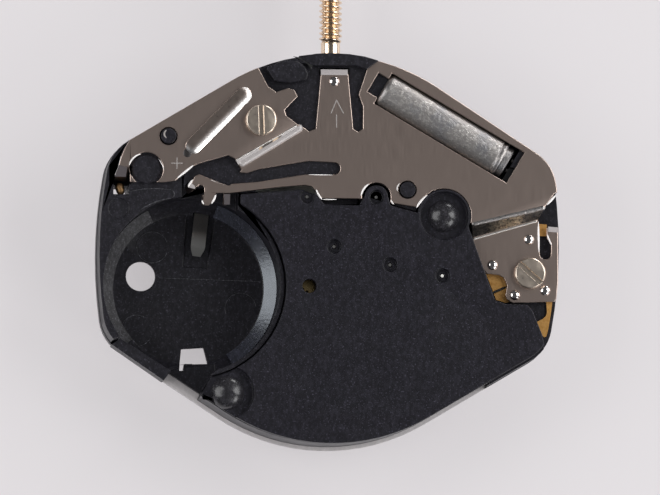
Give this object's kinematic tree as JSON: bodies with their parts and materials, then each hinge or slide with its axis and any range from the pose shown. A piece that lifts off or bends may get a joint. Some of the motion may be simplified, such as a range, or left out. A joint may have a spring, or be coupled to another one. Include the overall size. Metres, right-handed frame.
{
  "type": "quartz watch movement",
  "caption": "Small three-hand quartz watch movement with an empty battery pocket, a metal circuit plate and a threaded winding stem.",
  "frame": {"origin": "the hands' axis at the face that the dial rests on", "axes": "+Z from the dial towards the battery side, +Y along the winding stem towards the crown"},
  "size_m": [0.0181, 0.0245, 0.0049],
  "materials": {
    "black_plastic": "satin",
    "guard": "satin",
    "amber_film": "satin",
    "resin": "satin",
    "can_metal": "satin",
    "spring_steel": "satin",
    "plate_steel": "satin",
    "gilt_steel": "polished",
    "soft_iron": "satin",
    "copper": "satin",
    "magnet": "satin",
    "white_plastic": "satin",
    "brass": "satin"
  },
  "bodies": {
    "root": {"main_plate": "black_plastic", "dial_side_guard": "guard", "circuit_spacer": "black_plastic", "circuit_board": "amber_film", "ic_chip": "resin", "crystal_can": "can_metal", "crystal_leads": "can_metal", "minus_contact": "spring_steel", "train_cover": "black_plastic", "battery_plus_plate": "plate_steel", "plate_screws": "gilt_steel", "stator": "soft_iron", "coil_core": "soft_iron", "coil_flanges": "black_plastic", "coil_winding": "copper"},
    "rotor": {"rotor_magnet": "magnet", "rotor_pinion": "white_plastic"},
    "fifth": {"fifth_wheel": "white_plastic", "fifth_arbor": "spring_steel"},
    "seconds": {"second_wheel": "brass", "second_arbor": "spring_steel"},
    "third": {"third_wheel": "white_plastic", "third_arbor": "spring_steel"},
    "centre": {"centre_wheel": "brass", "cannon_pinion": "brass"},
    "minute": {"minute_wheel": "white_plastic", "minute_arbor": "spring_steel"},
    "hour": {"hour_wheel": "brass"},
    "setting": {"setting_wheel": "spring_steel"},
    "stem": {"winding_stem": "gilt_steel"},
    "clutch": {"clutch_wheel": "spring_steel"},
    "setting_lever_body": {"setting_lever": "spring_steel"},
    "yoke_body": {"yoke": "spring_steel"},
    "reset_lever_body": {"reset_lever": "spring_steel"}
  },
  "joints": [
    {"name": "rotor_spin", "type": "hinge", "parent": "root", "child": "rotor", "pos_m": [0.00424, -0.00111, 0.0015], "axis": [0, 0, 1], "continuous": true},
    {"name": "fifth_spin", "type": "hinge", "parent": "root", "child": "fifth", "pos_m": [0.00219, -0.0007, 0.0015], "axis": [0, 0, 1], "continuous": true},
    {"name": "seconds_spin", "type": "hinge", "parent": "root", "child": "seconds", "pos_m": [0, 0, 0.0015], "axis": [0, 0, 1], "continuous": true},
    {"name": "third_spin", "type": "hinge", "parent": "root", "child": "third", "pos_m": [-0.00105, 0.00194, 0.0015], "axis": [0, 0, 1], "continuous": true},
    {"name": "centre_spin", "type": "hinge", "parent": "root", "child": "centre", "pos_m": [0, 0, 0.0015], "axis": [0, 0, 1], "continuous": true},
    {"name": "minute_spin", "type": "hinge", "parent": "root", "child": "minute", "pos_m": [0.00165, 0.00194, 0.0015], "axis": [0, 0, 1], "continuous": true},
    {"name": "hour_spin", "type": "hinge", "parent": "root", "child": "hour", "pos_m": [0, 0, 0.0015], "axis": [0, 0, 1], "continuous": true},
    {"name": "setting_spin", "type": "hinge", "parent": "root", "child": "setting", "pos_m": [-0.0003, 0.00374, 0.0015], "axis": [0, 0, 1], "continuous": true},
    {"name": "yoke_shift", "type": "slide", "parent": "root", "child": "yoke_body", "axis": [0, 1, 0], "range_m": [-0.0003, 0]},
    {"name": "crown_turn", "type": "hinge", "parent": "yoke_body", "child": "clutch", "pos_m": [0, 0.0053, 0.00105], "axis": [0, 1, 0], "continuous": true},
    {"name": "crown_pull", "type": "slide", "parent": "clutch", "child": "stem", "axis": [0, 1, 0], "range_m": [0, 0.001]},
    {"name": "setting_lever_swing", "type": "hinge", "parent": "root", "child": "setting_lever_body", "pos_m": [-0.0018, 0.0062, 0.00163], "axis": [0, 0, 1], "range_deg": [0, 22.7]},
    {"name": "reset_lever_swing", "type": "hinge", "parent": "root", "child": "reset_lever_body", "pos_m": [0.00185, 0.00485, 0.00204], "axis": [0, 0, 1], "range_deg": [-8.1, 0]}
  ],
  "couplings": [
    {"joint": "fifth_spin", "follows": "rotor_spin", "ratio": -0.2},
    {"joint": "seconds_spin", "follows": "rotor_spin", "ratio": 0.033333},
    {"joint": "third_spin", "follows": "rotor_spin", "ratio": -0.0055556},
    {"joint": "centre_spin", "follows": "rotor_spin", "ratio": 0.00055556},
    {"joint": "minute_spin", "follows": "rotor_spin", "ratio": -0.00018519},
    {"joint": "hour_spin", "follows": "rotor_spin", "ratio": 0.000046296},
    {"joint": "setting_spin", "follows": "rotor_spin", "ratio": 0.00047619},
    {"joint": "yoke_shift", "follows": "crown_pull", "ratio": -0.3},
    {"joint": "setting_lever_swing", "follows": "crown_pull", "rad_per_m": 394},
    {"joint": "reset_lever_swing", "follows": "crown_pull", "rad_per_m": -140}
  ]
}
